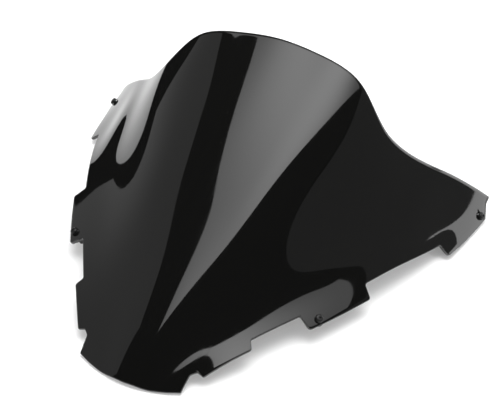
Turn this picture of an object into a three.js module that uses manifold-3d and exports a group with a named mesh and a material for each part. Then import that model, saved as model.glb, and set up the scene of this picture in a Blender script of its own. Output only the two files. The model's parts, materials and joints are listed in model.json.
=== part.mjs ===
// Formed motorcycle windshield screen with its four sets of mounting hardware.
//
// Frame: millimetres, +Z up, -Y towards the nose, mirrored about X = 0. Left and right are the
// rider's, who sits behind the screen and faces -Y, so left is +X. The screen lies on its lower
// edges, as it does on a bench. It is drawn with Y = 0 at the two nose corners and is moved at the
// end, so that the origin is at the bottom centre of the box around it.
//
// The sheet is a lofted surface: a table of heights at seven stations along the length, each with
// six heights from the centre line to the side line, joined by smooth splines both ways, with a
// soft ridge along each wing. The plan outline (nose arc, side tabs, rear rim) is drawn on that
// surface and the sheet gets its thickness along the surface normal.

import * as THREE from 'three';
import { mergeVertices } from 'three/addons/utils/BufferGeometryUtils.js';
import Module from 'manifold-3d';

const wasm = await Module();
wasm.setup();

// ---------------------------------------------------------------- driving dimensions (mm)

const SHEET_THICKNESS = 3.0;
const CLEARANCE = 0.3;
const SLOPE_STEP = 0.5;
const WELD_DISTANCE = 0.0001;

// Heights of the outer face. Each station has its place along the length, the half width of the
// side line there, and the heights at equal fractions of that half width.
const STATIONS = [
  { y: -15, halfWidth: 36, heights: [-1.1, -1, -2.2, -3.7, -4.5, -6.3] },
  { y: 30, halfWidth: 64.5, heights: [23.5, 23.2, 20.3, 17.1, 15.3, 13.1] },
  { y: 80, halfWidth: 96.5, heights: [49, 48.4, 44.5, 37.8, 29.3, 21.4] },
  { y: 140, halfWidth: 133.5, heights: [80.1, 79.7, 74.8, 57.6, 37.3, 22.1] },
  { y: 205, halfWidth: 168, heights: [116.8, 115.5, 108.3, 80.5, 45.3, 20.9] },
  { y: 270, halfWidth: 196, heights: [152.9, 150, 141.7, 105.8, 48, 10.5] },
  { y: 345, halfWidth: 216, heights: [192.5, 188.8, 179.1, 119.4, 63.1, 5.5] },
];

// A soft ridge that stiffens each wing: its crest, its height, how far it fades to the sides and
// towards its ends, and how much it leans outwards towards the rear.
const RIDGE = { x: 165, y: 262, height: 6, width: 14, length: 48, lean: 0.2 };

// Rear rim in plan: distance from the centre line, place along the length.
const RIM = [
  [0, 302.5], [40, 301.5], [70, 298], [95, 294.5], [112, 288.5], [122, 287.5],
  [135, 293], [155, 308.5], [187, 334], [214, 354],
];

const NOSE_HALF_WIDTH = 51.5;
const NOSE_BULGE = 12.3;

// Side outline: [place along the side line, distance out from it, corner radius].
const SIDE_OUTLINE = [
  [2.7, 5.1, 0],
  [14.3, -2, 3],
  [19.6, 0, 1.5],
  [21.6, 6.2, 2],
  [62.5, 7.6, 2.5],
  [65.5, 0, 2],
  [109.6, 0, 2],
  [110.9, 13, 3.5],
  [170.6, 12.2, 3],
  [173, 0, 3],
  [264, -0.4, 1.5],
  [265, 9.8, 3.5],
  [304, 6.6, 8],
  [333.5, 4.6, 3],
  [344.5, -2.4, 3],
  [353, -4.1, 0],
];
const CORNER_SEGMENTS = 2;
const LONGEST_ROW_STEP = 13;

// A band runs inside the tabs, where the rows of the grid turn to follow the tab sides. It starts
// on the nose arc, follows the side line at an even inset, and crosses the rear lobe to the rim.
const BAND = { inset: 8, noseX: 40, noseEnd: 14.3, lobeStart: 264, rimX: 187 };
const RIM_BLEND_LENGTH = 70;
const SHEET_COLUMNS = 9;
const BAND_COLUMNS = 2;

// Fastening points, measured on the surface in plan.
const HOLE_RADIUS = 2.5;
const FRONT_HOLE = { x: 129.7, y: 118.2 };
const REAR_HOLE = { x: 213.2, y: 329.1 };

// Hardware, metric M4.
const SCREW = {
  radius: 2, headRadius: 3.8, headHeight: 2.2, headRim: 0.5, crownRadius: 1.9,
  keyRadius: 1.44, keyDepth: 1.3, tipChamfer: 0.4,
};
const FRONT_SCREW_LENGTH = 16;
const REAR_SCREW_LENGTH = 10;
const WASHER = { innerRadius: 2.3, outerRadius: 4, thickness: 0.8 };
const RUBBER_WASHER = { innerRadius: 2.3, outerRadius: 4.2, thickness: 1 };
const WELL_NUT = {
  flangeRadius: 6, flangeThickness: 1.4, bodyRadius: 4, length: 11,
  boreRadius: 2.4, pocketRadius: 3.3,
};
const INSERT = { innerRadius: 2.3, outerRadius: 3, length: 5 };
const NUT = { innerRadius: 2.3, acrossFlats: 7, thickness: 2.2 };

const ROUND_SEGMENTS = 20;
const DOME_STEPS = 5;
const DRILL_LENGTH = 18;
const CUT_MARGIN = 1;

// ---------------------------------------------------------------- colours

const COLOURS = {
  acrylic: { color: 0x0b0b0a, roughness: 0.05, metalness: 0 },
  blackMetal: { color: 0x151515, roughness: 0.35, metalness: 0.8 },
  nylon: { color: 0x1a1a1a, roughness: 0.5, metalness: 0 },
  rubber: { color: 0x202020, roughness: 0.85, metalness: 0 },
  brass: { color: 0xb08d3f, roughness: 0.35, metalness: 1 },
  steel: { color: 0x9a9a98, roughness: 0.4, metalness: 1 },
};

// ---------------------------------------------------------------- splines

// Smooth curve through points: zero curvature at its ends, and a level start where levelStart is set.
function spline(knots, values, levelStart = false) {
  const last = knots.length - 1;
  const gap = (i) => knots[i + 1] - knots[i];
  const slope = (i) => (values[i + 1] - values[i]) / gap(i);
  const diagonal = new Array(last + 1).fill(1);
  const above = new Array(last + 1).fill(0);
  const right = new Array(last + 1).fill(0);
  if (levelStart) {
    diagonal[0] = 2 * gap(0);
    above[0] = gap(0);
    right[0] = 6 * slope(0);
  }
  for (let i = 1; i <= last; i++) {
    const inside = i < last;
    const below = inside ? gap(i - 1) : 0;
    const factor = below / diagonal[i - 1];
    diagonal[i] = (inside ? 2 * (gap(i - 1) + gap(i)) : 1) - factor * above[i - 1];
    above[i] = inside ? gap(i) : 0;
    right[i] = (inside ? 6 * (slope(i) - slope(i - 1)) : 0) - factor * right[i - 1];
  }
  const curvature = new Array(last + 1).fill(0);
  for (let i = last; i >= 0; i--) {
    const next = i < last ? above[i] * curvature[i + 1] : 0;
    curvature[i] = (right[i] - next) / diagonal[i];
  }
  return (t) => {
    let i = 0;
    while (i < last - 1 && t > knots[i + 1]) i++;
    const h = gap(i);
    const a = knots[i + 1] - t;
    const b = t - knots[i];
    const cubic = (curvature[i] * a ** 3 + curvature[i + 1] * b ** 3) / (6 * h);
    const from = (values[i] / h - (curvature[i] * h) / 6) * a;
    const to = (values[i + 1] / h - (curvature[i + 1] * h) / 6) * b;
    return cubic + from + to;
  };
}

const stationY = STATIONS.map((station) => station.y);
const halfWidth = spline(stationY, STATIONS.map((station) => station.halfWidth));
const fractions = STATIONS[0].heights.map((_, i, all) => i / (all.length - 1));
const heightLines = fractions.map((_, i) => spline(stationY, STATIONS.map((s) => s.heights[i])));
const rimY = spline(RIM.map((p) => p[0]), RIM.map((p) => p[1]), true);

// ---------------------------------------------------------------- outer surface

function ridgeHeight(x, y) {
  const behindCrest = y - RIDGE.y;
  const across = (Math.abs(x) - RIDGE.x - RIDGE.lean * behindCrest) / RIDGE.width;
  const along = behindCrest / RIDGE.length;
  return RIDGE.height * Math.exp(-(across ** 2) - along ** 2);
}

function outerPoint(x, y) {
  const heights = heightLines.map((line) => line(y));
  const section = spline(fractions, heights, true);
  return new THREE.Vector3(x, y, section(Math.abs(x) / halfWidth(y)) + ridgeHeight(x, y));
}

function outerNormal(x, y) {
  const across = outerPoint(x + SLOPE_STEP, y).sub(outerPoint(x - SLOPE_STEP, y));
  const along = outerPoint(x, y + SLOPE_STEP).sub(outerPoint(x, y - SLOPE_STEP));
  return across.cross(along).normalize();
}

// ---------------------------------------------------------------- plan grid

const noseY = (x) => -NOSE_BULGE * (1 - (x / NOSE_HALF_WIDTH) ** 2);

// The plan point at a given place along the side line and distance out from it.
function sidePoint(place, out) {
  const rise = halfWidth(place + SLOPE_STEP) - halfWidth(place - SLOPE_STEP);
  const lean = rise / (2 * SLOPE_STEP);
  const outward = new THREE.Vector2(1, -lean).normalize();
  return new THREE.Vector2(halfWidth(place), place).addScaledVector(outward, out);
}

// The plan point on the band's inner edge that belongs to a place along the side line.
function bandPoint(place) {
  const outlineStart = SIDE_OUTLINE[0][0];
  const outlineEnd = SIDE_OUTLINE.at(-1)[0];
  if (place < BAND.noseEnd) {
    const onNose = new THREE.Vector2(BAND.noseX, noseY(BAND.noseX));
    const share = (place - outlineStart) / (BAND.noseEnd - outlineStart);
    return onNose.lerp(sidePoint(BAND.noseEnd, -BAND.inset), share);
  }
  if (place > BAND.lobeStart) {
    const onRim = new THREE.Vector2(BAND.rimX, rimY(BAND.rimX));
    const share = (place - BAND.lobeStart) / (outlineEnd - BAND.lobeStart);
    return sidePoint(BAND.lobeStart, -BAND.inset).lerp(onRim, share);
  }
  return sidePoint(place, -BAND.inset);
}

// The side outline with rounded corners, as (place, distance out) points.
function roundedOutline() {
  const corner = (i) => new THREE.Vector2(SIDE_OUTLINE[i][0], SIDE_OUTLINE[i][1]);
  const points = [];
  SIDE_OUTLINE.forEach(([, , radius], i) => {
    if (radius === 0) {
      points.push(corner(i));
      return;
    }
    const back = corner(i - 1).sub(corner(i));
    const ahead = corner(i + 1).sub(corner(i));
    const turn = Math.PI - back.angleTo(ahead);
    const reach = Math.min(radius * Math.tan(turn / 2), back.length() / 2, ahead.length() / 2);
    const from = corner(i).addScaledVector(back.normalize(), reach);
    const to = corner(i).addScaledVector(ahead.normalize(), reach);
    points.push(...new THREE.QuadraticBezierCurve(from, corner(i), to).getPoints(CORNER_SEGMENTS));
  });
  return points;
}

// The outline again, with no step along it longer than the row step.
function outlinePlaces() {
  const outline = roundedOutline();
  const places = [outline[0]];
  for (let i = 1; i < outline.length; i++) {
    const steps = Math.ceil((outline[i].x - outline[i - 1].x) / LONGEST_ROW_STEP);
    for (let s = 1; s <= steps; s++) {
      places.push(outline[i - 1].clone().lerp(outline[i], s / steps));
    }
  }
  return places;
}

// One row of plan points, from the centre line to the outline. Rows start out level at the centre
// and bend like the nose arc; near the rear they take on the shape of the rim.
function rowPoints(bandEdge, outlineEdge) {
  const rimEnd = rimY(BAND.rimX);
  const noseEnd = noseY(BAND.noseX);
  const along = (bandEdge.y - noseEnd) / (rimEnd - noseEnd);
  const centreY = THREE.MathUtils.lerp(-NOSE_BULGE, rimY(0), along);
  const rimShare = THREE.MathUtils.smoothstep(bandEdge.y, rimEnd - RIM_BLEND_LENGTH, rimEnd);
  const points = [];
  for (let i = 0; i <= SHEET_COLUMNS; i++) {
    const t = i / SHEET_COLUMNS;
    const rimBend = (rimY(t * BAND.rimX) - rimY(0)) / (rimEnd - rimY(0));
    const bend = THREE.MathUtils.lerp(t * t, rimBend, rimShare);
    points.push(new THREE.Vector2(t * bandEdge.x, centreY + (bandEdge.y - centreY) * bend));
  }
  for (let i = 1; i <= BAND_COLUMNS; i++) {
    points.push(bandEdge.clone().lerp(outlineEdge, i / BAND_COLUMNS));
  }
  return points;
}

// Every row across the whole width, left and right mirrored.
function planGrid() {
  return outlinePlaces().map((place) => {
    const half = rowPoints(bandPoint(place.x), sidePoint(place.x, place.y));
    const mirrored = half.slice(1).reverse().map((p) => new THREE.Vector2(-p.x, p.y));
    return [...mirrored, ...half];
  });
}

// ---------------------------------------------------------------- solids

// Merges shared corners and drops triangles that have collapsed, so the body is closed.
function closed(geometry) {
  geometry.deleteAttribute('normal');
  geometry.deleteAttribute('uv');
  const merged = mergeVertices(geometry, WELD_DISTANCE);
  const index = merged.getIndex().array;
  const kept = [];
  for (let i = 0; i < index.length; i += 3) {
    const [a, b, c] = index.slice(i, i + 3);
    if (a !== b && b !== c && c !== a) kept.push(a, b, c);
  }
  merged.setIndex(kept);
  return merged;
}

function toManifold(geometry) {
  const body = closed(geometry);
  return new wasm.Manifold(new wasm.Mesh({
    numProp: 3,
    vertProperties: new Float32Array(body.getAttribute('position').array),
    triVerts: new Uint32Array(body.getIndex().array),
  }));
}

function fromManifold(solid) {
  const mesh = solid.getMesh();
  const geometry = new THREE.BufferGeometry();
  geometry.setAttribute('position', new THREE.BufferAttribute(mesh.vertProperties, 3));
  geometry.setIndex(new THREE.BufferAttribute(mesh.triVerts, 1));
  return geometry;
}

// A solid or ring of revolution about Z, from [radius, height] points.
function turned(profile) {
  const points = profile.map(([radius, height]) => new THREE.Vector2(radius, height));
  return closed(new THREE.LatheGeometry(points, ROUND_SEGMENTS).rotateX(Math.PI / 2));
}

const ring = (inner, outer, bottom, top) => turned([
  [inner, bottom], [outer, bottom], [outer, top], [inner, top], [inner, bottom],
]);

// A six-sided prism about Z with two of its flats facing along Y.
function hexPrism(cornerRadius, bottom, top) {
  const prism = new THREE.CylinderGeometry(cornerRadius, cornerRadius, top - bottom, 6, 1);
  return prism.rotateX(Math.PI / 2).rotateZ(Math.PI / 6).translate(0, 0, (top + bottom) / 2);
}

// ---------------------------------------------------------------- the formed sheet

function blankSheet() {
  const grid = planGrid();
  const lastRow = grid.length - 1;
  const lastColumn = grid[0].length - 1;
  const columns = lastColumn + 1;
  const outerFace = grid.flat().map((p) => outerPoint(p.x, p.y));
  const innerFace = grid.flat().map((p, i) => (
    outerFace[i].clone().addScaledVector(outerNormal(p.x, p.y), -SHEET_THICKNESS)
  ));
  const outer = (row, column) => row * columns + column;
  const inner = (row, column) => outerFace.length + outer(row, column);
  const index = [];

  for (let r = 0; r < lastRow; r++) {
    for (let c = 0; c < lastColumn; c++) {
      const cell = [[r, c], [r, c + 1], [r + 1, c + 1], [r + 1, c]];
      const onLeftHalf = c >= lastColumn / 2;
      const [p, q, s, t] = onLeftHalf ? cell : [cell[1], cell[2], cell[3], cell[0]];
      index.push(outer(...p), outer(...q), outer(...s), outer(...p), outer(...s), outer(...t));
      index.push(inner(...p), inner(...s), inner(...q), inner(...p), inner(...t), inner(...s));
    }
  }

  const rows = Array.from({ length: lastRow }, (_, i) => i);
  const across = Array.from({ length: lastColumn }, (_, i) => i);
  const rim = [
    ...across.map((c) => [0, c]),
    ...rows.map((r) => [r, lastColumn]),
    ...across.map((c) => [lastRow, lastColumn - c]),
    ...rows.map((r) => [lastRow - r, 0]),
  ];
  rim.forEach((here, i) => {
    const next = rim[(i + 1) % rim.length];
    index.push(inner(...here), inner(...next), outer(...next));
    index.push(inner(...here), outer(...next), outer(...here));
  });

  const geometry = new THREE.BufferGeometry().setFromPoints([...outerFace, ...innerFace]);
  geometry.setIndex(index);
  return geometry;
}

// Places a child frame at a fastening point: its Z runs out of the sheet along the screw and its
// X is level. side is 1 for left and -1 for right.
function fasteningFrame(hole, side) {
  const point = outerPoint(side * hole.x, hole.y);
  const out = outerNormal(side * hole.x, hole.y);
  const level = new THREE.Vector3(0, 0, 1).cross(out).normalize();
  const frame = new THREE.Group();
  frame.quaternion.setFromRotationMatrix(
    new THREE.Matrix4().makeBasis(level, out.clone().cross(level), out),
  );
  frame.position.copy(point);
  frame.updateMatrix();
  return frame;
}

function makeScreen(frames) {
  let sheet = toManifold(blankSheet());
  for (const frame of frames) {
    const drill = new THREE.CylinderGeometry(HOLE_RADIUS, HOLE_RADIUS, DRILL_LENGTH, ROUND_SEGMENTS);
    drill.rotateX(Math.PI / 2).applyMatrix4(frame.matrix);
    sheet = sheet.subtract(toManifold(drill));
  }
  return fromManifold(sheet);
}

// ---------------------------------------------------------------- hardware

const washerBottom = CLEARANCE;
const washerTop = washerBottom + WASHER.thickness;
const headBottom = washerTop + CLEARANCE;
const innerFaceTop = -SHEET_THICKNESS - CLEARANCE;

// Button-head screw with a domed head and a six-sided key socket.
function makeScrew(length) {
  const tip = headBottom - length;
  const rimTop = headBottom + SCREW.headRim;
  const headTop = headBottom + SCREW.headHeight;
  const dome = Array.from({ length: DOME_STEPS + 1 }, (_, i) => {
    const angle = (i / DOME_STEPS) * (Math.PI / 2);
    const radius = SCREW.crownRadius + (SCREW.headRadius - SCREW.crownRadius) * Math.cos(angle);
    return [radius, rimTop + (headTop - rimTop) * Math.sin(angle)];
  });
  const body = turned([
    [0, tip],
    [SCREW.radius - SCREW.tipChamfer, tip],
    [SCREW.radius, tip + SCREW.tipChamfer],
    [SCREW.radius, headBottom],
    [SCREW.headRadius, headBottom],
    ...dome,
    [0, headTop],
  ]);
  const key = hexPrism(SCREW.keyRadius, headTop - SCREW.keyDepth, headTop + CUT_MARGIN);
  return fromManifold(toManifold(body).subtract(toManifold(key)));
}

const makeWasher = () => ring(WASHER.innerRadius, WASHER.outerRadius, washerBottom, washerTop);

const makeRubberWasher = () => ring(
  RUBBER_WASHER.innerRadius, RUBBER_WASHER.outerRadius,
  innerFaceTop - RUBBER_WASHER.thickness, innerFaceTop,
);

// Flanged rubber sleeve with a wider pocket at its far end for the insert.
function makeWellNut() {
  const flangeBottom = innerFaceTop - WELL_NUT.flangeThickness;
  const end = innerFaceTop - WELL_NUT.length;
  const pocketTop = end + INSERT.length + 2 * CLEARANCE;
  return turned([
    [WELL_NUT.boreRadius, innerFaceTop],
    [WELL_NUT.boreRadius, pocketTop],
    [WELL_NUT.pocketRadius, pocketTop],
    [WELL_NUT.pocketRadius, end],
    [WELL_NUT.bodyRadius, end],
    [WELL_NUT.bodyRadius, flangeBottom],
    [WELL_NUT.flangeRadius, flangeBottom],
    [WELL_NUT.flangeRadius, innerFaceTop],
    [WELL_NUT.boreRadius, innerFaceTop],
  ]);
}

function makeInsert() {
  const bottom = innerFaceTop - WELL_NUT.length + CLEARANCE;
  return ring(INSERT.innerRadius, INSERT.outerRadius, bottom, bottom + INSERT.length);
}

function makeNut() {
  const top = innerFaceTop - RUBBER_WASHER.thickness - CLEARANCE;
  const bottom = top - NUT.thickness;
  const cornerRadius = NUT.acrossFlats / Math.sqrt(3);
  const bore = new THREE.CylinderGeometry(
    NUT.innerRadius, NUT.innerRadius, NUT.thickness + 2 * CUT_MARGIN, ROUND_SEGMENTS,
  ).rotateX(Math.PI / 2).translate(0, 0, (top + bottom) / 2);
  const blank = toManifold(hexPrism(cornerRadius, bottom, top));
  return fromManifold(blank.subtract(toManifold(bore)));
}

// ---------------------------------------------------------------- assembly

function piece(name, geometry, finish) {
  const mesh = new THREE.Mesh(geometry, new THREE.MeshStandardMaterial(finish));
  mesh.name = name;
  return mesh;
}

const windshield = new THREE.Group();
const fasteningFrames = [];

for (const [sideName, side] of [['left', 1], ['right', -1]]) {
  const front = fasteningFrame(FRONT_HOLE, side);
  front.add(
    piece(`front_screw_${sideName}`, makeScrew(FRONT_SCREW_LENGTH), COLOURS.blackMetal),
    piece(`front_washer_${sideName}`, makeWasher(), COLOURS.nylon),
    piece(`front_well_nut_${sideName}`, makeWellNut(), COLOURS.rubber),
    piece(`front_insert_${sideName}`, makeInsert(), COLOURS.brass),
  );
  const rear = fasteningFrame(REAR_HOLE, side);
  rear.add(
    piece(`rear_screw_${sideName}`, makeScrew(REAR_SCREW_LENGTH), COLOURS.blackMetal),
    piece(`rear_washer_${sideName}`, makeWasher(), COLOURS.nylon),
    piece(`rear_rubber_washer_${sideName}`, makeRubberWasher(), COLOURS.rubber),
    piece(`rear_nut_${sideName}`, makeNut(), COLOURS.steel),
  );
  windshield.add(front, rear);
  fasteningFrames.push(front, rear);
}
windshield.add(piece('screen', makeScreen(fasteningFrames), COLOURS.acrylic));

// Moves the whole part so that its origin is at the bottom centre of the box around it.
const box = new THREE.Box3().setFromObject(windshield, true);
windshield.position.set(0, -(box.min.y + box.max.y) / 2, -box.min.z);
windshield.updateMatrixWorld(true);

export default windshield;
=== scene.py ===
# %% [markdown]
# A motorcycle windshield screen on a studio table
#
# The screen is one sheet of dark acrylic, drawn hot over a mould into a wedge that opens out
# towards the rider. Its lower edges carry small tabs, and four sets of screws, washers and nuts
# hold it to the fairing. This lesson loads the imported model, makes the sheet again as a fine and
# smooth mesh, dresses the hardware, and lights everything the way a product is lit in a studio.
#
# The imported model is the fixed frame. Everything is in metres, +Z is up, -Y is the nose of the
# screen and X = 0 is its plane of symmetry.

# %% Load the frame
import bpy
import json
import math
import numpy as np
from mathutils import Matrix, Vector


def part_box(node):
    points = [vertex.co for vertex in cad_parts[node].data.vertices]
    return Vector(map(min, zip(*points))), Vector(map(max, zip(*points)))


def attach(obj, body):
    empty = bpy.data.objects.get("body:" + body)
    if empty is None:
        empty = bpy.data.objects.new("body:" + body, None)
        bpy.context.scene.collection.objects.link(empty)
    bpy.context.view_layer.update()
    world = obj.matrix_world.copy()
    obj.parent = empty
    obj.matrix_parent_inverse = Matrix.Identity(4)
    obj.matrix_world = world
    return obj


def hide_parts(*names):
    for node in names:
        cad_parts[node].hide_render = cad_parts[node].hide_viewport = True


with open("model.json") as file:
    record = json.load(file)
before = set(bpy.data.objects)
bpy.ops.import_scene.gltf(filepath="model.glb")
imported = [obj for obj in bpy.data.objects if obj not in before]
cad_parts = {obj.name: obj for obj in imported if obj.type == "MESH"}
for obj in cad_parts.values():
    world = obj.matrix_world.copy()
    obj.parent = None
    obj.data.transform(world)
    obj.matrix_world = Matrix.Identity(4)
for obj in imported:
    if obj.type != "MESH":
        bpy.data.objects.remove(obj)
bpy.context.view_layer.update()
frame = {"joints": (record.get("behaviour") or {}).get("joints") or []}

MM = 0.001

# %% [markdown]
# The camera comes first
#
# Fixing the viewpoint early means that every later choice is judged from the same place. The
# camera stands high in front of the nose and to the left, a little over a metre away, with a long
# lens, so the far rim is only slightly smaller than the near tabs.

# %% Camera
CAMERA_PLACE = Vector((0.4119, -0.7608, 0.8365))
CAMERA_RIGHT = Vector((0.8956, 0.4449, 0.0))
CAMERA_UP = Vector((-0.2953, 0.5944, 0.748))
LENS_MM = 88.56
SENSOR_MM = 36.0

camera_data = bpy.data.cameras.new("studio_camera")
camera_data.lens = LENS_MM
camera_data.sensor_width = SENSOR_MM
camera_data.clip_start = 0.01
camera_data.clip_end = 50.0
camera = bpy.data.objects.new("studio_camera", camera_data)
bpy.context.scene.collection.objects.link(camera)
camera_back = CAMERA_RIGHT.cross(CAMERA_UP)
axes = Matrix((CAMERA_RIGHT, CAMERA_UP, camera_back)).transposed()
camera.matrix_world = Matrix.Translation(CAMERA_PLACE) @ axes.to_4x4()
bpy.context.scene.camera = camera
print("camera at", [round(v, 3) for v in CAMERA_PLACE], "with a", LENS_MM, "mm lens")

# %% [markdown]
# The drawing of the sheet
#
# The formed sheet follows a rule. Seven stations run from the nose to the rear, and each one says
# how high the outer face is at six equal steps between the centre line and the side line. Smooth
# curves through those heights, first along the length and then across, give the whole surface, and
# a soft ridge is added along each wing. A mould maker works from the same kind of table. These are
# the CAD model's own numbers in millimetres, measured from the two nose corners.

# %% Stations, rim and side outline
STATION_Y = np.array([-15, 30, 80, 140, 205, 270, 345], float)
STATION_HALF_WIDTH = np.array([36, 64.5, 96.5, 133.5, 168, 196, 216], float)
STATION_HEIGHTS = np.array([
    [-1.1, -1, -2.2, -3.7, -4.5, -6.3],
    [23.5, 23.2, 20.3, 17.1, 15.3, 13.1],
    [49, 48.4, 44.5, 37.8, 29.3, 21.4],
    [80.1, 79.7, 74.8, 57.6, 37.3, 22.1],
    [116.8, 115.5, 108.3, 80.5, 45.3, 20.9],
    [152.9, 150, 141.7, 105.8, 48, 10.5],
    [192.5, 188.8, 179.1, 119.4, 63.1, 5.5],
], float)
RIM = np.array([
    (0, 302.5), (40, 301.5), (70, 298), (95, 294.5), (112, 288.5), (122, 287.5),
    (135, 293), (155, 308.5), (187, 334), (214, 354),
], float)
NOSE_HALF_WIDTH = 51.5
NOSE_BULGE = 12.3

# place along the side line, distance out from it, corner radius
SIDE_OUTLINE = [
    (2.7, 5.1, 0), (14.3, -2, 3), (19.6, 0, 1.5), (21.6, 6.2, 2), (62.5, 7.6, 2.5),
    (65.5, 0, 2), (109.6, 0, 2), (110.9, 13, 3.5), (170.6, 12.2, 3), (173, 0, 3),
    (264, -0.4, 1.5), (265, 9.8, 3.5), (304, 6.6, 8), (333.5, 4.6, 3), (344.5, -2.4, 3),
    (353, -4.1, 0),
]
SHEET_THICKNESS = 3.0
SLOPE_STEP = 0.5

# a soft ridge along each wing: place of the crest, height, width, length and lean
RIDGE_CREST = (165, 262)
RIDGE_HEIGHT = 6
RIDGE_WIDTH = 14
RIDGE_LENGTH = 48
RIDGE_LEAN = 0.2
print(len(STATION_Y), "stations and", len(SIDE_OUTLINE), "outline corners on each side")

# %% [markdown]
# Curves through numbers
#
# A natural cubic spline passes through every number it is given and bends as little as it can. Its
# curvature at each knot is a fixed mix of the values, so one small matrix, worked out once, serves
# every row of the sheet. The section across the screen starts level on the centre line, because
# the left half mirrors the right half without a crease.


# %% Splines
def curvature_matrix(knots, level_start):
    """The matrix that turns the values at the knots into the curve's curvature there."""
    count = len(knots)
    gap = np.diff(knots)
    system = np.eye(count)
    source = np.zeros((count, count))
    for i in range(1, count - 1):
        system[i, i - 1:i + 2] = gap[i - 1], 2 * (gap[i - 1] + gap[i]), gap[i]
        source[i, i - 1:i + 2] = 6 / gap[i - 1], -6 / gap[i - 1] - 6 / gap[i], 6 / gap[i]
    if level_start:
        system[0, :2] = 2 * gap[0], gap[0]
        source[0, :2] = -6 / gap[0], 6 / gap[0]
    return np.linalg.solve(system, source)


def spline(knots, values, at, level_start=False):
    """Values of the curve at the given places. values may hold one row of numbers per place."""
    knots = np.asarray(knots, float)
    values = np.broadcast_to(values, (len(at), len(knots)))
    bend = values @ curvature_matrix(knots, level_start).T
    i = np.clip(np.searchsorted(knots, at) - 1, 0, len(knots) - 2)
    row = np.arange(len(at))
    h = knots[i + 1] - knots[i]
    a = knots[i + 1] - at
    b = at - knots[i]
    cubic = (bend[row, i] * a ** 3 + bend[row, i + 1] * b ** 3) / (6 * h)
    start = (values[row, i] / h - bend[row, i] * h / 6) * a
    end = (values[row, i + 1] / h - bend[row, i + 1] * h / 6) * b
    return cubic + start + end


def half_width(y):
    return spline(STATION_Y, STATION_HALF_WIDTH, np.asarray(y, float))


def rim_y(x):
    return spline(RIM[:, 0], RIM[:, 1], np.asarray(x, float), level_start=True)


def nose_y(x):
    return -NOSE_BULGE * (1 - (np.asarray(x, float) / NOSE_HALF_WIDTH) ** 2)


def outer_height(x, y):
    """Height of the outer face over plan points."""
    lines = np.stack([spline(STATION_Y, line, y) for line in STATION_HEIGHTS.T], axis=1)
    fractions = np.linspace(0, 1, STATION_HEIGHTS.shape[1])
    base = spline(fractions, lines, np.abs(x) / half_width(y), level_start=True)
    crest_x, crest_y = RIDGE_CREST
    across = (np.abs(x) - crest_x - RIDGE_LEAN * (y - crest_y)) / RIDGE_WIDTH
    along = (y - crest_y) / RIDGE_LENGTH
    return base + RIDGE_HEIGHT * np.exp(-across ** 2 - along ** 2)


def on_surface(plan):
    """Points of the outer face over an array of plan points."""
    return np.column_stack([plan, outer_height(plan[:, 0], plan[:, 1])])


def surface_normal(plan):
    """Outward normals of the outer face over an array of plan points."""
    dx = np.array([SLOPE_STEP, 0.0])
    dy = np.array([0.0, SLOPE_STEP])
    across = on_surface(plan + dx) - on_surface(plan - dx)
    along = on_surface(plan + dy) - on_surface(plan - dy)
    normal = np.cross(across, along)
    return normal / np.linalg.norm(normal, axis=1, keepdims=True)


print("height on the centre line, mid length:",
      round(float(outer_height(np.zeros(1), np.array([150.0]))[0]), 1), "mm")

# %% [markdown]
# A grid that follows the edges
#
# Reflections on glossy acrylic show every bump in a mesh, so the sheet is a regular grid whose
# points lie exactly on the surface, rather than a shape that is cut out afterwards. Each row runs
# from the centre line to one place on the side outline. Across the open sheet the rows bend like
# the nose, near the rear they take on the shape of the rim, and in a narrow band inside the tabs
# they turn to meet the tab's own edge. Rows crowd together at tab corners and at the rolled rim.

# %% Plan grid
BAND_INSET = 8.0
BAND_NOSE_X = 40.0
BAND_NOSE_END = 14.3
LOBE_START = 264.0
BAND_RIM_X = 187.0
RIM_BLEND_LENGTH = 70.0
ROW_STEP = 2.6
CORNER_STEPS = 6
SHEET_COLUMNS = 56
BAND_COLUMNS = 7
RIM_ROLL = 3.6
RIM_DROP = 1.6
RIM_ROLL_STEPS = 9
PLACE_PER_RIM_MM = 1.3
ROLL_CLEARANCE = 0.5


def side_point(place, out):
    """The plan point at a place along the side line and a distance out from it."""
    place = np.atleast_1d(np.asarray(place, float))
    rise = half_width(place + SLOPE_STEP) - half_width(place - SLOPE_STEP)
    lean = rise / (2 * SLOPE_STEP)
    outward = np.column_stack([np.ones_like(lean), -lean])
    outward /= np.linalg.norm(outward, axis=1, keepdims=True)
    return np.column_stack([half_width(place), place]) + outward * np.reshape(out, (-1, 1))


def band_point(place):
    """The plan point on the band's inner edge that belongs to a place along the side line."""
    first, last = SIDE_OUTLINE[0][0], SIDE_OUTLINE[-1][0]
    if place < BAND_NOSE_END:
        start = np.array([BAND_NOSE_X, nose_y(BAND_NOSE_X)])
        end = side_point(BAND_NOSE_END, -BAND_INSET)[0]
        share = (place - first) / (BAND_NOSE_END - first)
        return start + (end - start) * share
    if place > LOBE_START:
        start = side_point(LOBE_START, -BAND_INSET)[0]
        end = np.array([BAND_RIM_X, rim_y(np.array([BAND_RIM_X]))[0]])
        share = (place - LOBE_START) / (last - LOBE_START)
        return start + (end - start) * share
    return side_point(place, -BAND_INSET)[0]


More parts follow.
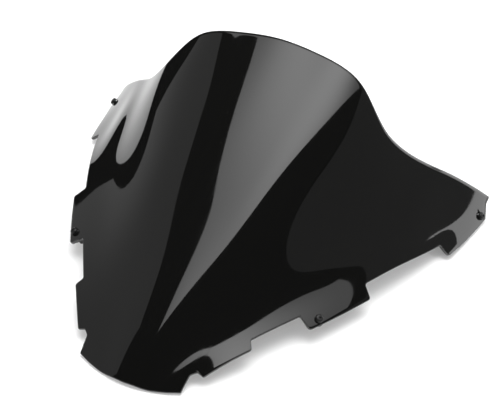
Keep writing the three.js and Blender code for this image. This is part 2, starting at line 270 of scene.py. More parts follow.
def rounded_outline():
    """The side outline with rounded corners, as (place, out) points."""
    corners = np.array([corner[:2] for corner in SIDE_OUTLINE], float)
    points = []
    for i, (_, _, radius) in enumerate(SIDE_OUTLINE):
        here = corners[i]
        if radius == 0:
            points.append(here)
            continue
        back, ahead = corners[i - 1] - here, corners[i + 1] - here
        lengths = np.linalg.norm(back), np.linalg.norm(ahead)
        cosine = np.dot(back, ahead) / (lengths[0] * lengths[1])
        turn = math.pi - math.acos(np.clip(cosine, -1, 1))
        reach = min(radius * math.tan(turn / 2), lengths[0] / 2, lengths[1] / 2)
        start = here + back / lengths[0] * reach
        end = here + ahead / lengths[1] * reach
        for s in np.linspace(0, 1, CORNER_STEPS + 1):
            points.append((1 - s) ** 2 * start + 2 * s * (1 - s) * here + s * s * end)
    return points


def outline_places():
    """The outline again, with no long step along it, and crowded rows at the rolled rim."""
    outline = rounded_outline()
    places = [outline[0]]
    for before, after in zip(outline, outline[1:]):
        steps = max(1, math.ceil(np.linalg.norm(after - before) / ROW_STEP))
        places += [before + (after - before) * s / steps for s in range(1, steps + 1)]
    places = np.array(places)
    last = places[-1, 0]
    turn = np.linspace(0, math.pi / 2, RIM_ROLL_STEPS + 1)
    rolled = last - RIM_ROLL * (1 - np.sin(turn)) * PLACE_PER_RIM_MM
    kept = places[places[:, 0] < rolled[0] - ROLL_CLEARANCE]
    rolled_out = np.interp(rolled, places[:, 0], places[:, 1])
    return np.vstack([kept, np.column_stack([rolled, rolled_out])])


def row_points(band_edge, outline_edge):
    """One row of plan points from the centre line to the outline."""
    rim_end = rim_y(np.array([BAND_RIM_X]))[0]
    rim_centre = rim_y(np.zeros(1))[0]
    nose_end = nose_y(BAND_NOSE_X)
    along = (band_edge[1] - nose_end) / (rim_end - nose_end)
    centre_y = -NOSE_BULGE + (rim_centre + NOSE_BULGE) * along
    share = np.clip((band_edge[1] - rim_end + RIM_BLEND_LENGTH) / RIM_BLEND_LENGTH, 0, 1)
    rim_share = share * share * (3 - 2 * share)
    t = np.linspace(0, 1, SHEET_COLUMNS + 1)
    rim_bend = (rim_y(t * BAND_RIM_X) - rim_centre) / (rim_end - rim_centre)
    bend = t * t + (rim_bend - t * t) * rim_share
    sheet = np.column_stack([t * band_edge[0], centre_y + (band_edge[1] - centre_y) * bend])
    s = np.linspace(0, 1, BAND_COLUMNS + 1)[1:, None]
    return np.vstack([sheet, band_edge + (outline_edge - band_edge) * s])


def plan_grid():
    """Every row, mirrored about the centre line and stacked from the nose to the rim."""
    rows = []
    for place, out in outline_places():
        half = row_points(band_point(place), side_point(place, out)[0])
        mirrored = half[:0:-1] * np.array([-1.0, 1.0])
        rows.append(np.vstack([mirrored, half]))
    return np.array(rows)


GRID = plan_grid()
ROWS, COLUMNS = GRID.shape[:2]
print("grid of", ROWS, "rows by", COLUMNS, "columns")

# %% [markdown]
# Two faces and a rounded edge
#
# A sawn acrylic edge is scraped and polished, so it has no sharp corner, and on the rear rim the
# outer face rolls over into the edge. The roll is a quarter of an ellipse: the outer face drops
# away faster and faster over the last few millimetres. The other edges get a small round at top
# and bottom. All of it is made here as rings of points around the boundary, because a ring at a
# known distance gives a cleaner highlight than a bevel guessed from the faces.

# %% Sheet mesh
EDGE_ROUND = 0.7
EDGE_ATTRIBUTE = "sawn_edge"
ROUND_STEPS = 4
RIM_ROUND = 0.05
NEAR_RIM_ROWS = 40
RIM_SAMPLES = 900

plan = GRID.reshape(-1, 2)
outer_face = on_surface(plan)
normals = surface_normal(plan)
inner_face = outer_face - SHEET_THICKNESS * normals

rim_x = np.linspace(-RIM[-1, 0], RIM[-1, 0], RIM_SAMPLES)
rim_plan = np.column_stack([rim_x, rim_y(np.abs(rim_x))])
rim_line = on_surface(rim_plan)
near_rim = np.arange((ROWS - NEAR_RIM_ROWS) * COLUMNS, ROWS * COLUMNS)
rim_gap = np.array([
    np.sqrt(((rim_line - point) ** 2).sum(axis=1).min()) for point in outer_face[near_rim]
])
roll = np.clip(1 - rim_gap / RIM_ROLL, 0, 1)
drop = RIM_DROP * (1 - np.sqrt(1 - roll ** 2))
outer_face[near_rim] -= drop[:, None] * normals[near_rim]
print("rim drops by", round(float(drop.max()), 2), "mm")


def boundary_loop():
    """Grid positions once around the edge: nose, left side, rim, right side."""
    across = np.arange(COLUMNS - 1)
    down = np.arange(ROWS - 1)
    nose = across
    left = down * COLUMNS + COLUMNS - 1
    rim = (ROWS - 1) * COLUMNS + (COLUMNS - 1 - across)
    right = (ROWS - 1 - down) * COLUMNS
    return np.concatenate([nose, left, rim, right]), len(nose) + len(left), len(rim)


loop, rim_first, rim_count = boundary_loop()
edge_points = outer_face[loop]
tangent = np.roll(edge_points, -1, axis=0) - np.roll(edge_points, 1, axis=0)
tangent /= np.linalg.norm(tangent, axis=1, keepdims=True)
outward = np.cross(tangent, normals[loop])
outward /= np.linalg.norm(outward, axis=1, keepdims=True)

on_rim = np.zeros(len(loop))
on_rim[rim_first:rim_first + rim_count + 1] = 1.0
outer_round = (EDGE_ROUND * (1 - on_rim) + RIM_ROUND * on_rim)[:, None]
inner_round = EDGE_ROUND
outer_face[loop] -= outer_round * outward
inner_face[loop] -= inner_round * outward

rings = []
for angle in np.linspace(0, math.pi / 2, ROUND_STEPS + 1)[1:]:
    round_off = math.sin(angle) * outward - (1 - math.cos(angle)) * normals[loop]
    rings.append(outer_face[loop] + outer_round * round_off)
for angle in np.linspace(math.pi / 2, 0, ROUND_STEPS + 1)[:-1]:
    round_off = math.sin(angle) * outward + (1 - math.cos(angle)) * normals[loop]
    rings.append(inner_face[loop] + inner_round * round_off)

points = np.vstack([outer_face, inner_face, *rings])
index = np.arange(ROWS * COLUMNS).reshape(ROWS, COLUMNS)
quads = np.stack([index[:-1, :-1], index[:-1, 1:], index[1:, 1:], index[1:, :-1]], axis=-1)
outer_quads = quads.reshape(-1, 4)
inner_quads = outer_quads[:, ::-1] + ROWS * COLUMNS
ring_rows = [loop]
for r in range(len(rings)):
    ring_rows.append(2 * ROWS * COLUMNS + r * len(loop) + np.arange(len(loop)))
ring_rows.append(loop + ROWS * COLUMNS)
edge_quads = []
for upper, lower in zip(ring_rows, ring_rows[1:]):
    edge_quads.append(np.column_stack([lower, np.roll(lower, -1), np.roll(upper, -1), upper]))
edge_quads = np.vstack(edge_quads)

print("sheet mesh:", len(points), "points,", len(outer_quads) * 2 + len(edge_quads), "faces")

# %% [markdown]
# From drawing to frame
#
# The drawing counts from the nose corners, and the frame has its origin at the bottom centre of the
# part. The CAD node knows where it lies, so the move between the two is read from its box.

# %% Sheet object
cad_low, cad_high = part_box("screen")
drawn = on_surface(plan)
shift = np.array([
    0.0,
    (cad_low.y + cad_high.y) / 2 / MM - (drawn[:, 1].min() + drawn[:, 1].max()) / 2,
    cad_high.z / MM - drawn[:, 2].max(),
])
points = (points + shift) * MM

sheet_mesh = bpy.data.meshes.new("smoked_screen")
sheet_faces = np.vstack([outer_quads, inner_quads, edge_quads])
sheet_mesh.from_pydata(points.tolist(), [], sheet_faces.tolist())
sheet_mesh.validate()
sheet_mesh.update()
sawn = np.zeros(len(points), dtype=np.float32)
sawn[2 * ROWS * COLUMNS:] = 1.0
sheet_mesh.attributes.new(EDGE_ATTRIBUTE, "FLOAT", "POINT").data.foreach_set("value", sawn)
sheet = bpy.data.objects.new("smoked_screen", sheet_mesh)
bpy.context.scene.collection.objects.link(sheet)
sheet_mesh.shade_smooth()

print("shift in mm:", shift.round(3), " sheet size:", [round(v, 4) for v in sheet.dimensions])

# %% [markdown]
# Drilling the sheet
#
# A drill leaves a clean round hole square to the surface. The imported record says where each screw
# turns and which way it points, so those four axes place the drills here and all the hardware
# later on. A Boolean takes four plain rods out of the finished sheet.

# %% Fastening frames and holes
HOLE_RADIUS = 2.5 * MM
DRILL_LENGTH = 20 * MM
DRILL_SEGMENTS = 48


def fastening_matrix(joint):
    """A frame at a fastening point: Z runs out of the sheet along the screw and X is level."""
    out = Vector(joint["axis"]).normalized()
    level = Vector((0, 0, 1)).cross(out).normalized()
    turned = Matrix((level, out.cross(level), out)).transposed()
    return Matrix.Translation(Vector(joint["pos_m"])) @ turned.to_4x4()


FASTENINGS = {
    joint["name"].removesuffix("_turn"): fastening_matrix(joint)
    for joint in frame["joints"] if joint["type"] == "hinge"
}

drill_points = []
drill_faces = []
for matrix in FASTENINGS.values():
    first = len(drill_points)
    for end in (-DRILL_LENGTH / 2, DRILL_LENGTH / 2):
        for k in range(DRILL_SEGMENTS):
            angle = 2 * math.pi * k / DRILL_SEGMENTS
            round_point = (HOLE_RADIUS * math.cos(angle), HOLE_RADIUS * math.sin(angle), end)
            drill_points.append(matrix @ Vector(round_point))
    low = [first + k for k in range(DRILL_SEGMENTS)]
    high = [first + DRILL_SEGMENTS + k for k in range(DRILL_SEGMENTS)]
    drill_faces += [low[::-1], high]
    for k in range(DRILL_SEGMENTS):
        after = (k + 1) % DRILL_SEGMENTS
        drill_faces.append([low[k], low[after], high[after], high[k]])

drill_mesh = bpy.data.meshes.new("drills")
drill_mesh.from_pydata([tuple(p) for p in drill_points], [], drill_faces)
drills = bpy.data.objects.new("drills", drill_mesh)
bpy.context.scene.collection.objects.link(drills)
drilling = sheet.modifiers.new("holes", "BOOLEAN")
drilling.operation = "DIFFERENCE"
drilling.solver = "EXACT"
drilling.object = drills
drilled = bpy.data.meshes.new_from_object(
    sheet.evaluated_get(bpy.context.evaluated_depsgraph_get()))
sheet.modifiers.clear()
sheet.data = drilled
sheet.data.name = "smoked_screen"
bpy.data.objects.remove(drills)
print("fastenings:", sorted(FASTENINGS), " faces after drilling:", len(drilled.polygons))
print("edge attribute kept:", EDGE_ATTRIBUTE in drilled.attributes)

# %% [markdown]
# Turned pieces from one small tree
#
# Screws, washers, sleeves and nuts are all turned on a lathe, so they can all come from one
# Geometry Nodes tree: it sweeps a half profile round a circle and closes it up. Two more steps
# make the hexagons. A six-sided prism is cut out of the head of a screw, or kept where it overlaps
# a turned blank to make a nut, which gives the nut its rounded corners as on the real thing.

# %% The turning tree
SEGMENTS = 48
PITCH_RADIUS = 10 * MM
WELD_DISTANCE = 0.002 * MM


def turning_tree(name, hexagon):
    """hexagon is None, 'DIFFERENCE' for a key socket or 'INTERSECT' for a hexagonal nut."""
    tree = bpy.data.node_groups.new(name, "GeometryNodeTree")
    face = tree.interface
    face.new_socket("Profile", in_out="INPUT", socket_type="NodeSocketGeometry")
    sockets = {}
    for label, kind, value in (
        ("Segments", "NodeSocketInt", SEGMENTS),
        ("Pitch Radius", "NodeSocketFloat", PITCH_RADIUS),
        ("Hexagon Radius", "NodeSocketFloat", 1 * MM),
        ("Hexagon Depth", "NodeSocketFloat", 1 * MM),
        ("Hexagon Height", "NodeSocketFloat", 0.0),
        ("Finish", "NodeSocketMaterial", None),
    ):
        socket = face.new_socket(label, in_out="INPUT", socket_type=kind)
        if value is not None:
            socket.default_value = value
        sockets[label] = socket.identifier
    face.new_socket("Geometry", in_out="OUTPUT", socket_type="NodeSocketGeometry")

    nodes, links = tree.nodes, tree.links
    inputs = nodes.new("NodeGroupInput")
    outputs = nodes.new("NodeGroupOutput")
    outline = nodes.new("GeometryNodeMeshToCurve")
    circle = nodes.new("GeometryNodeCurvePrimitiveCircle")
    sweep = nodes.new("GeometryNodeCurveToMesh")
    weld = nodes.new("GeometryNodeMergeByDistance")
    weld.inputs["Distance"].default_value = WELD_DISTANCE
    links.new(inputs.outputs["Profile"], outline.inputs["Mesh"])
    links.new(inputs.outputs["Segments"], circle.inputs["Resolution"])
    links.new(inputs.outputs["Pitch Radius"], circle.inputs["Radius"])
    links.new(circle.outputs["Curve"], sweep.inputs["Curve"])
    links.new(outline.outputs["Curve"], sweep.inputs["Profile Curve"])
    links.new(sweep.outputs["Mesh"], weld.inputs["Geometry"])
    body = weld.outputs["Geometry"]
    if hexagon:
        prism = nodes.new("GeometryNodeMeshCylinder")
        prism.inputs["Vertices"].default_value = 6
        place = nodes.new("GeometryNodeTransform")
        offset = nodes.new("ShaderNodeCombineXYZ")
        cut = nodes.new("GeometryNodeMeshBoolean")
        cut.operation = hexagon
        cut.solver = "EXACT"
        links.new(inputs.outputs["Hexagon Radius"], prism.inputs["Radius"])
        links.new(inputs.outputs["Hexagon Depth"], prism.inputs["Depth"])
        links.new(inputs.outputs["Hexagon Height"], offset.inputs["Z"])
        links.new(prism.outputs["Mesh"], place.inputs["Geometry"])
        links.new(offset.outputs["Vector"], place.inputs["Translation"])
        links.new(body, cut.inputs["Mesh 1" if hexagon == "DIFFERENCE" else "Mesh 2"])
        links.new(place.outputs["Geometry"], cut.inputs["Mesh 2"])
        body = cut.outputs["Mesh"]
    realize = nodes.new("GeometryNodeRealizeInstances")
    finish = nodes.new("GeometryNodeSetMaterial")
    links.new(body, realize.inputs["Geometry"])
    links.new(realize.outputs["Geometry"], finish.inputs["Geometry"])
    links.new(inputs.outputs["Finish"], finish.inputs["Material"])
    links.new(finish.outputs["Geometry"], outputs.inputs["Geometry"])
    for column, node in enumerate(nodes):
        node.location = (column * 190, 0)
    return tree, sockets


TURNED = turning_tree("turned_piece", None)
SOCKETED = turning_tree("turned_piece_with_socket", "DIFFERENCE")
HEXAGONAL = turning_tree("turned_piece_cut_to_hexagon", "INTERSECT")
print("trees:", [tree.name for tree, _ in (TURNED, SOCKETED, HEXAGONAL)])

# %% [markdown]
# Smoked acrylic
#
# Dark smoke acrylic lets almost no light through, so a Principled shader with a near black base
# does the work and nearly all of the look is reflection. Cast sheet that is drawn over a mould is
# very flat but never perfect: long shallow waves bend the reflections a little, and a bench leaves
# a few specks of dust and faint wiping marks that dull the gloss. The sawn edges are scraped and
# polished by hand, so they stay a little rougher and greyer. An attribute marks those edges.


# %% Acrylic material
def acrylic_material():
    """Near black gloss with long waves, dust, wiping marks and duller sawn edges."""
    material = bpy.data.materials.new("smoked_acrylic")
    material.use_nodes = True
    nodes, links = material.node_tree.nodes, material.node_tree.links
    nodes.clear()

    output = nodes.new("ShaderNodeOutputMaterial")
    output.label = "Surface"
    output.location = (900, 0)
    shader = nodes.new("ShaderNodeBsdfPrincipled")
    shader.label = "Black gloss sheet"
    shader.location = (600, 0)
    shader.inputs["IOR"].default_value = 1.49
    links.new(shader.outputs["BSDF"], output.inputs["Surface"])

    place = nodes.new("ShaderNodeTexCoord")
    place.label = "Place on the part"
    place.location = (-900, 0)

    wave_frame = nodes.new("NodeFrame")
    wave_frame.label = "Shallow waves from forming"
    waves = nodes.new("ShaderNodeTexNoise")
    waves.label = "Long waves"
    waves.parent = wave_frame
    waves.location = (-600, -500)
    waves.inputs["Scale"].default_value = 9.0
    waves.inputs["Detail"].default_value = 1.0
    bump = nodes.new("ShaderNodeBump")
    bump.label = "Waves bend the gloss"
    bump.parent = wave_frame
    bump.location = (-300, -500)
    bump.inputs["Strength"].default_value = 0.02
    bump.inputs["Distance"].default_value = 0.0006
    links.new(place.outputs["Object"], waves.inputs["Vector"])
    links.new(waves.outputs["Fac"], bump.inputs["Height"])
    links.new(bump.outputs["Normal"], shader.inputs["Normal"])

    dust_frame = nodes.new("NodeFrame")
    dust_frame.label = "Dust and wiping marks"
    specks = nodes.new("ShaderNodeTexVoronoi")
    specks.label = "Specks of dust"
    specks.parent = dust_frame
    specks.location = (-600, 300)
    specks.inputs["Scale"].default_value = 90.0
    speck_size = nodes.new("ShaderNodeMapRange")
    speck_size.label = "Only the smallest spots"
    speck_size.parent = dust_frame
    speck_size.location = (-400, 300)
    speck_size.inputs["From Min"].default_value = 0.0
    speck_size.inputs["From Max"].default_value = 0.05
    speck_size.inputs["To Min"].default_value = 0.25
    speck_size.inputs["To Max"].default_value = 0.0
    stretch = nodes.new("ShaderNodeMapping")
    stretch.label = "Marks run along the sheet"
    stretch.parent = dust_frame
    stretch.location = (-800, 60)
    stretch.inputs["Scale"].default_value = (260.0, 14.0, 14.0)
    wiping = nodes.new("ShaderNodeTexNoise")
    wiping.label = "Wiping marks"
    wiping.parent = dust_frame
    wiping.location = (-600, 60)
    wiping.inputs["Scale"].default_value = 1.0
    gloss = nodes.new("ShaderNodeMapRange")
    gloss.label = "Polish"
    gloss.parent = dust_frame
    gloss.location = (-400, 60)
    gloss.inputs["From Min"].default_value = 0.35
    gloss.inputs["From Max"].default_value = 0.75
    gloss.inputs["To Min"].default_value = 0.02
    gloss.inputs["To Max"].default_value = 0.055
    dulled = nodes.new("ShaderNodeMath")
    dulled.label = "Dust dulls the polish"
    dulled.parent = dust_frame
    dulled.location = (-200, 180)
    dulled.operation = "ADD"
    links.new(place.outputs["Object"], specks.inputs["Vector"])
    links.new(specks.outputs["Distance"], speck_size.inputs["Value"])
    links.new(place.outputs["Object"], stretch.inputs["Vector"])
    links.new(stretch.outputs["Vector"], wiping.inputs["Vector"])
    links.new(wiping.outputs["Fac"], gloss.inputs["Value"])
    links.new(speck_size.outputs["Result"], dulled.inputs[0])
    links.new(gloss.outputs["Result"], dulled.inputs[1])

    edge_frame = nodes.new("NodeFrame")
    edge_frame.label = "Sawn and scraped edges"
    edge = nodes.new("ShaderNodeAttribute")
    edge.label = "Where the sheet was cut"
    edge.parent = edge_frame
    edge.location = (-100, 500)
    edge.attribute_name = EDGE_ATTRIBUTE
    edge_rough = nodes.new("ShaderNodeMix")
    edge_rough.label = "Edges are less polished"
    edge_rough.parent = edge_frame
    edge_rough.location = (200, 300)
    edge_rough.data_type = "FLOAT"
    edge_rough.inputs["B"].default_value = 0.22
    edge_tone = nodes.new("ShaderNodeMix")
    edge_tone.label = "Edges are greyer"
    edge_tone.parent = edge_frame
    edge_tone.location = (200, 560)
    edge_tone.data_type = "RGBA"
    edge_tone.inputs["A"].default_value = (0.0042, 0.0042, 0.0040, 1.0)
    edge_tone.inputs["B"].default_value = (0.06, 0.06, 0.06, 1.0)
    links.new(edge.outputs["Fac"], edge_rough.inputs["Factor"])
    links.new(edge.outputs["Fac"], edge_tone.inputs["Factor"])
    links.new(dulled.outputs["Value"], edge_rough.inputs["A"])
    links.new(edge_rough.outputs["Result"], shader.inputs["Roughness"])
    links.new(edge_tone.outputs["Result"], shader.inputs["Base Color"])
    return material


ACRYLIC = acrylic_material()
sheet.data.materials.clear()
sheet.data.materials.append(ACRYLIC)
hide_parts("screen")
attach(sheet, "sheet")
print("sheet wears", ACRYLIC.name)

# %% [markdown]
# Finishes for the hardware
#
# The screws are steel with a black oxide skin that wears bright on its corners. Washers and sleeves
# are moulded and have a fine matt grain. The insert is turned brass, and the rear nut is zinc
# plated. All of these have the same make-up: a base colour that varies a little, a roughness that
# varies with it, and a fine grain in the bump, so one function makes them with different numbers.


# %% Hardware materials
def hardware_material(name, dark, light, metal, smooth, rough, grain_scale, grain_depth):
    """A mottled finish between two colours and two roughnesses, with a fine grain."""
    material = bpy.data.materials.new(name)
    material.use_nodes = True
    nodes, links = material.node_tree.nodes, material.node_tree.links
    nodes.clear()

    output = nodes.new("ShaderNodeOutputMaterial")
    output.label = "Surface"
    output.location = (700, 0)
    shader = nodes.new("ShaderNodeBsdfPrincipled")
    shader.label = name.replace("_", " ")
    shader.location = (400, 0)
    shader.inputs["Metallic"].default_value = metal
    place = nodes.new("ShaderNodeTexCoord")
    place.label = "Place on the part"
    place.location = (-700, 0)

    tone_frame = nodes.new("NodeFrame")
    tone_frame.label = "Handling and plating tone"
    mottle = nodes.new("ShaderNodeTexNoise")
    mottle.label = "Mottle"
    mottle.parent = tone_frame
    mottle.location = (-450, 200)
    mottle.inputs["Scale"].default_value = 700.0
    mottle.inputs["Detail"].default_value = 4.0
    tone = nodes.new("ShaderNodeMix")
    tone.label = "Colour"
    tone.parent = tone_frame
    tone.location = (-200, 300)
    tone.data_type = "RGBA"
    tone.inputs["A"].default_value = (*dark, 1.0)
    tone.inputs["B"].default_value = (*light, 1.0)
    polish = nodes.new("ShaderNodeMapRange")
    polish.label = "Roughness"
    polish.parent = tone_frame
    polish.location = (-200, 60)
    polish.inputs["To Min"].default_value = smooth
    polish.inputs["To Max"].default_value = rough

    grain_frame = nodes.new("NodeFrame")
    grain_frame.label = "Grain"
    grain = nodes.new("ShaderNodeTexNoise")
    grain.label = "Fine grain"
    grain.parent = grain_frame
    grain.location = (-450, -300)
    grain.inputs["Scale"].default_value = grain_scale
    bump = nodes.new("ShaderNodeBump")
    bump.label = "Grain depth"
    bump.parent = grain_frame
    bump.location = (-200, -300)
    bump.inputs["Strength"].default_value = 0.4
    bump.inputs["Distance"].default_value = grain_depth

    links.new(place.outputs["Object"], mottle.inputs["Vector"])
    links.new(mottle.outputs["Fac"], tone.inputs["Factor"])
    links.new(mottle.outputs["Fac"], polish.inputs["Value"])
    links.new(tone.outputs["Result"], shader.inputs["Base Color"])
    links.new(polish.outputs["Result"], shader.inputs["Roughness"])
    links.new(place.outputs["Object"], grain.inputs["Vector"])
    links.new(grain.outputs["Fac"], bump.inputs["Height"])
    links.new(bump.outputs["Normal"], shader.inputs["Normal"])
    links.new(shader.outputs["BSDF"], output.inputs["Surface"])
    return material


FINISHES = {
    "black_metal": hardware_material(
        "black_oxide_steel", (0.002, 0.002, 0.002), (0.006, 0.006, 0.006), 0.0,
        0.35, 0.5, 2600.0, 0.00002),
    "nylon": hardware_material(
        "moulded_nylon", (0.003, 0.003, 0.003), (0.006, 0.006, 0.006), 0.0,
        0.5, 0.65, 3000.0, 0.00002),
    "rubber": hardware_material(
        "moulded_rubber", (0.012, 0.012, 0.012), (0.022, 0.022, 0.021), 0.0,
        0.6, 0.8, 2200.0, 0.00004),
    "brass": hardware_material(
        "turned_brass", (0.62, 0.44, 0.18), (0.75, 0.56, 0.26), 1.0,
        0.22, 0.38, 2600.0, 0.00001),
    "steel": hardware_material(
        "zinc_plated_steel", (0.48, 0.49, 0.5), (0.62, 0.63, 0.62), 1.0,
        0.25, 0.4, 2600.0, 0.00001),
}
print("finishes:", sorted(FINISHES))

# %% [markdown]
# Sixteen small pieces at four fastenings
#
# Each piece is drawn as a half profile in millimetres: distance from the screw's axis, then height
# above the outer face. The numbers are the CAD model's own, with the small chamfers and the thread
# ridges that a lathe and a die leave. The same drawing serves the left and the right side.


# %% Hardware profiles
THREAD_PITCH = 0.7
THREAD_DEPTH = 0.22
UNTHREADED_NECK = 0.8
FRONT_SCREW_LENGTH = 16
REAR_SCREW_LENGTH = 10
SHANK_RADIUS = 2.0
HEAD_BASE = 1.4
HEAD_RIM = 0.5
HEAD_HEIGHT = 2.2
HEAD_RADIUS = 3.8
HEAD_CHAMFER = 0.12
CROWN_RADIUS = 1.9
DOME_POINTS = 12


def threaded_shank(tip, top, radius):
    """Profile points up a screw's shank: a ridge and a groove for every turn of the thread."""
    points = [(radius - 2 * THREAD_DEPTH, tip)]
    height = tip + THREAD_PITCH / 2
    while height < top - THREAD_PITCH:
        points.append((radius, height))
        points.append((radius - THREAD_DEPTH, height + THREAD_PITCH / 2))
        height += THREAD_PITCH
    return points


def screw_profile(length):
    """Shank, underside of the head, domed top."""
    tip = HEAD_BASE - length
    rim, top = HEAD_BASE + HEAD_RIM, HEAD_BASE + HEAD_HEIGHT
    dome = [
        (CROWN_RADIUS + (HEAD_RADIUS - CROWN_RADIUS) * math.cos(a), rim + (top - rim) * math.sin(a))
        for a in np.linspace(0, math.pi / 2, DOME_POINTS)
    ]
    under_head = [
        (SHANK_RADIUS, HEAD_BASE), (HEAD_RADIUS - HEAD_CHAMFER, HEAD_BASE),
        (HEAD_RADIUS, HEAD_BASE + HEAD_CHAMFER),
    ]
    shank = threaded_shank(tip, HEAD_BASE - UNTHREADED_NECK, SHANK_RADIUS)
    return [(0, tip), *shank, *under_head, *dome, (0, top)]


def ring_profile(inner, outer, bottom, top, chamfer):
    """A ring with all four corners eased."""
    return [
        (inner + chamfer, bottom), (outer - chamfer, bottom), (outer, bottom + chamfer),
        (outer, top - chamfer), (outer - chamfer, top), (inner + chamfer, top),
        (inner, top - chamfer), (inner, bottom + chamfer), (inner + chamfer, bottom),
    ]


def well_nut_profile():
    """A flanged sleeve, wider inside at its far end where it holds the insert."""
    top, under_flange, pocket_top, end = -3.3, -4.7, -8.7, -14.3
    bore, pocket, body, flange = 2.4, 3.3, 4.0, 6.0
    end_ease, flange_ease, fillet = 0.2, 0.25, 0.3
    return [
        (bore, top), (bore, pocket_top), (pocket, pocket_top), (pocket, end),
        (body - end_ease, end), (body, end + end_ease), (body, under_flange - fillet),
        (body + fillet, under_flange), (flange - flange_ease, under_flange),
        (flange, under_flange + flange_ease), (flange, top - flange_ease),
        (flange - flange_ease, top), (bore, top),
    ]


def nut_blank_profile():
    """A nut before its hexagon is cut: coned outside, and countersunk at both ends of the bore."""
    top, bottom = -4.6, -6.8
    bore, face, corner = 2.3, 3.55, 4.05
    sink, cone = 0.25, 0.3
    return [
        (bore, bottom + sink), (bore + sink, bottom), (face, bottom), (corner, bottom + cone),
        (corner, top - cone), (face, top), (bore + sink, top), (bore, top - sink),
        (bore, bottom + sink),
    ]


INSERT_PROFILE = ring_profile(2.3, 3.0, -14.0, -9.0, 0.12)
WASHER_PROFILE = ring_profile(2.3, 4.0, 0.3, 1.1, 0.15)
RUBBER_WASHER_PROFILE = ring_profile(2.3, 4.2, -4.3, -3.3, 0.2)
print("screw profile has", len(screw_profile(FRONT_SCREW_LENGTH)), "points")


# %% Turn the hardware
SMOOTH_ANGLE = math.radians(32)


def turned_piece(name, profile, slot_name, body, matrix, tree=TURNED, hexagon=None):
    """Turns one profile, dresses it, puts it in its place and lets it ride on its body."""
    line = bpy.data.meshes.new(name + "_profile")
    swept = [(r * MM - PITCH_RADIUS, -h * MM, 0.0) for r, h in reversed(profile)]
    line.from_pydata(swept, [(i, i + 1) for i in range(len(swept) - 1)], [])
    worker = bpy.data.objects.new(name + "_profile", line)
    bpy.context.scene.collection.objects.link(worker)
    group, sockets = tree
    modifier = worker.modifiers.new("turning", "NODES")
    modifier.node_group = group
    modifier[sockets["Segments"]] = SEGMENTS
    modifier[sockets["Pitch Radius"]] = PITCH_RADIUS
    modifier[sockets["Finish"]] = FINISHES[slot_name]
    if hexagon:
        radius, depth, height = hexagon
        modifier[sockets["Hexagon Radius"]] = radius * MM
        modifier[sockets["Hexagon Depth"]] = depth * MM
        modifier[sockets["Hexagon Height"]] = height * MM
    mesh = bpy.data.meshes.new_from_object(
        worker.evaluated_get(bpy.context.evaluated_depsgraph_get()))
    worker.modifiers.clear()
    bpy.data.objects.remove(worker)
    mesh.name = name
    mesh.transform(matrix)
    mesh.shade_smooth()
    mesh.set_sharp_from_angle(angle=SMOOTH_ANGLE)
    mesh.materials.clear()
    mesh.materials.append(FINISHES[slot_name])
    piece = bpy.data.objects.new(name, mesh)
    bpy.context.scene.collection.objects.link(piece)
    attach(piece, body)
    return piece


# radius, depth and middle height of each hexagon
KEY_SOCKET = (1.44, 2.6, 3.6)
NUT_HEXAGON = (4.04, 4.0, -5.7)

for place_name, matrix in FASTENINGS.items():
    end, side = place_name.split("_")
    screw_length = FRONT_SCREW_LENGTH if end == "front" else REAR_SCREW_LENGTH
    screw = turned_piece(
        f"button_head_screw_{end}_{side}", screw_profile(screw_length), "black_metal",
        f"{end}_{side}_screw", matrix, SOCKETED, KEY_SOCKET)
    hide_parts(f"{end}_screw_{side}")
    washer = turned_piece(
        f"nylon_washer_{end}_{side}", WASHER_PROFILE, "nylon",
        f"{end}_{side}_washer", matrix)
    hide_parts(f"{end}_washer_{side}")
    if end == "front":
        sleeve = turned_piece(
            f"rubber_well_nut_{side}", well_nut_profile(), "rubber", "sheet", matrix)
        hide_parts(f"front_well_nut_{side}")
        insert = turned_piece(
            f"brass_insert_{side}", INSERT_PROFILE, "brass", "sheet", matrix)
        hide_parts(f"front_insert_{side}")
    else:
        pad = turned_piece(
            f"rubber_washer_{side}", RUBBER_WASHER_PROFILE, "rubber", "sheet", matrix)
        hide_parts(f"rear_rubber_washer_{side}")
        nut = turned_piece(
            f"hexagon_nut_{side}", nut_blank_profile(), "steel", "sheet", matrix,
            HEXAGONAL, NUT_HEXAGON)
        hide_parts(f"rear_nut_{side}")
    print(place_name, "screw has", len(screw.data.polygons), "faces")

# %% [markdown]
# The studio
#
# A black gloss part shows its surroundings more than itself, so each reflection on it is a light
# or a surface that was put there on purpose. A large softbox hangs over the table, brightest under
# its lamp, and draws the pale wedge down the middle. A low box on the right lights the rear lobe.
# Two dim panels, left and right, keep the flanks from falling to dead black.
#
# The left wing looks down at the white table, so the table has a fixed size. The floor around it
# is left out of reflections, and so is the fill light that keeps both of them white.

# %% Lights
UP = Vector((0, 0, 1))
LOOK_RIGHT = CAMERA_RIGHT
LOOK_AHEAD = UP.cross(LOOK_RIGHT)
DRAWING_SHIFT = Vector((0.0, shift[1] * MM, shift[2] * MM))

# the softbox: its lamp as a share of its sides, its size, its reach in metres and its dimmest share
LAMP_ON_DIFFUSER = (0.4, 0.33)
DIFFUSER_SIZE = (1.59, 1.08)
HOT_SPOT_RADIUS = 0.95
DIM_EDGE = 0.25


def studio_point(right, ahead, height):
    """A point counted from the nose along the camera's right and its level line of sight."""
    flat = LOOK_RIGHT * right + LOOK_AHEAD * ahead
    return flat + Vector((0, 0, height)) + DRAWING_SHIFT


def panel_light(name, centre, width_axis, height_axis, width, height, radiance):
    """A rectangular light that shines against the cross product of its two axes."""
    data = bpy.data.lights.new(name, "AREA")
    data.shape = "RECTANGLE"
    data.size = width
    data.size_y = height
    data.energy = radiance * math.pi * width * height
    light = bpy.data.objects.new(name, data)
    bpy.context.scene.collection.objects.link(light)
    back = width_axis.cross(height_axis)
    turned = Matrix((width_axis, height_axis, back)).transposed()
    light.matrix_world = Matrix.Translation(centre) @ turned.to_4x4()
    return light


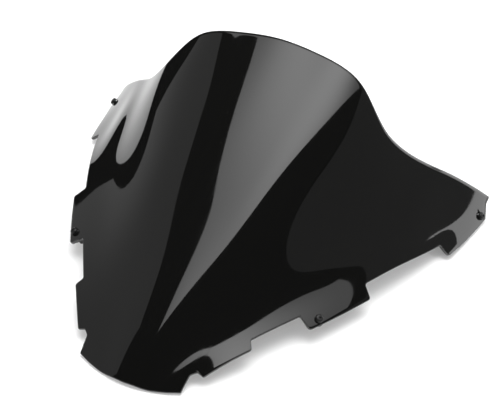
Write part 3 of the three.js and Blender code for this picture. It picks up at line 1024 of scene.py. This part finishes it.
def overhead(name, left, right, near, far, height, radiance):
    """A level panel that shines down."""
    centre = studio_point((left + right) / 2, (near + far) / 2, height)
    return panel_light(name, centre, LOOK_RIGHT, LOOK_AHEAD, right - left, far - near, radiance)


def side_panel(name, right, near, far, low, high, radiance):
    """A standing panel at one side; it faces the table."""
    centre = studio_point(right, (near + far) / 2, (low + high) / 2)
    along = LOOK_AHEAD if right > 0 else -LOOK_AHEAD
    return panel_light(name, centre, along, UP, far - near, high - low, radiance)


def hot_spot(light, centre, width, height, dim):
    """Makes a softbox brightest where its lamp is and dimmer towards the edges."""
    light.data.use_nodes = True
    nodes, links = light.data.node_tree.nodes, light.data.node_tree.links
    nodes.clear()
    place = nodes.new("ShaderNodeNewGeometry")
    place.label = "Place on the diffuser"
    place.location = (-800, 0)
    from_lamp = nodes.new("ShaderNodeVectorMath")
    from_lamp.label = "Counted from the lamp"
    from_lamp.location = (-600, 0)
    from_lamp.operation = "SUBTRACT"
    from_lamp.inputs[1].default_value = (*centre, 0.0)
    size = nodes.new("ShaderNodeVectorMath")
    size.label = "In metres"
    size.location = (-400, 0)
    size.operation = "MULTIPLY"
    size.inputs[1].default_value = (width, height, 0.0)
    distance = nodes.new("ShaderNodeVectorMath")
    distance.label = "Distance from the lamp"
    distance.location = (-200, 0)
    distance.operation = "LENGTH"
    fall = nodes.new("ShaderNodeMapRange")
    fall.label = "Softbox falloff"
    fall.location = (0, 0)
    fall.interpolation_type = "SMOOTHSTEP"
    fall.inputs["From Max"].default_value = HOT_SPOT_RADIUS
    fall.inputs["To Min"].default_value = 1.0
    fall.inputs["To Max"].default_value = dim
    emission = nodes.new("ShaderNodeEmission")
    emission.label = "Diffuser"
    emission.location = (200, 0)
    output = nodes.new("ShaderNodeOutputLight")
    output.location = (400, 0)
    links.new(place.outputs["Parametric"], from_lamp.inputs[0])
    links.new(from_lamp.outputs["Vector"], size.inputs[0])
    links.new(size.outputs["Vector"], distance.inputs[0])
    links.new(distance.outputs["Value"], fall.inputs["Value"])
    links.new(fall.outputs["Result"], emission.inputs["Strength"])
    links.new(emission.outputs["Emission"], output.inputs["Surface"])


softbox = overhead(
    "softbox_above", left=-0.432, right=1.13, near=-0.178, far=0.9, height=1.2, radiance=5.3)
hot_spot(softbox, LAMP_ON_DIFFUSER, *DIFFUSER_SIZE, DIM_EDGE)
side_panel("softbox_right", right=0.98, near=0.215, far=1.5, low=0.0, high=0.27, radiance=3.1)
side_panel("panel_right", right=1.0, near=-1.5, far=1.5, low=0.0, high=0.9, radiance=0.19)
side_panel("panel_left", right=-1.0, near=-0.14, far=1.19, low=0.02, high=1.893, radiance=0.46)

fill = overhead(
    "fill_for_the_table", left=-3.0, right=3.0, near=-3.0, far=3.0, height=1.6, radiance=0.8)
fill.visible_glossy = False
fill.data.use_shadow = False


# %% Floor and world
def floor_sheet(name, right, ahead, height):
    """A flat rectangle lined up with the lights and kept out of the part's own model."""
    mesh = bpy.data.meshes.new(name)
    corners = [studio_point(right[i], ahead[j], 0.0) for i, j in ((0, 0), (1, 0), (1, 1), (0, 1))]
    mesh.from_pydata([(c.x, c.y, height) for c in corners], [], [(0, 1, 2, 3)])
    sheet = bpy.data.objects.new(name, mesh)
    bpy.context.scene.collection.objects.link(sheet)
    return sheet


BELOW_TABLE = -0.0005
WORLD_GREY = 0.012

floor = floor_sheet("table_top", right=(-0.36, 0.98), ahead=(-0.9, 0.62), height=0.0)
surround = floor_sheet("studio_floor", right=(-4.0, 4.0), ahead=(-4.0, 4.0), height=BELOW_TABLE)
surround.visible_glossy = False

floor_material = bpy.data.materials.new("white_table")
floor_material.use_nodes = True
floor_shader = floor_material.node_tree.nodes["Principled BSDF"]
floor_shader.label = "Matt white paper"
floor_shader.inputs["Base Color"].default_value = (0.93, 0.93, 0.93, 1.0)
floor_shader.inputs["Roughness"].default_value = 0.9
floor_shader.inputs["Specular IOR Level"].default_value = 0.0
floor.data.materials.append(floor_material)
surround.data.materials.append(floor_material)

world = bpy.data.worlds.new("dark_studio")
world.use_nodes = True
background = world.node_tree.nodes["Background"]
background.inputs["Color"].default_value = (WORLD_GREY, WORLD_GREY, WORLD_GREY, 1.0)
bpy.context.scene.world = world
bpy.context.scene.view_settings.view_transform = "Standard"
bpy.context.scene.view_settings.look = "None"
print("table and floor:", floor.name, surround.name)
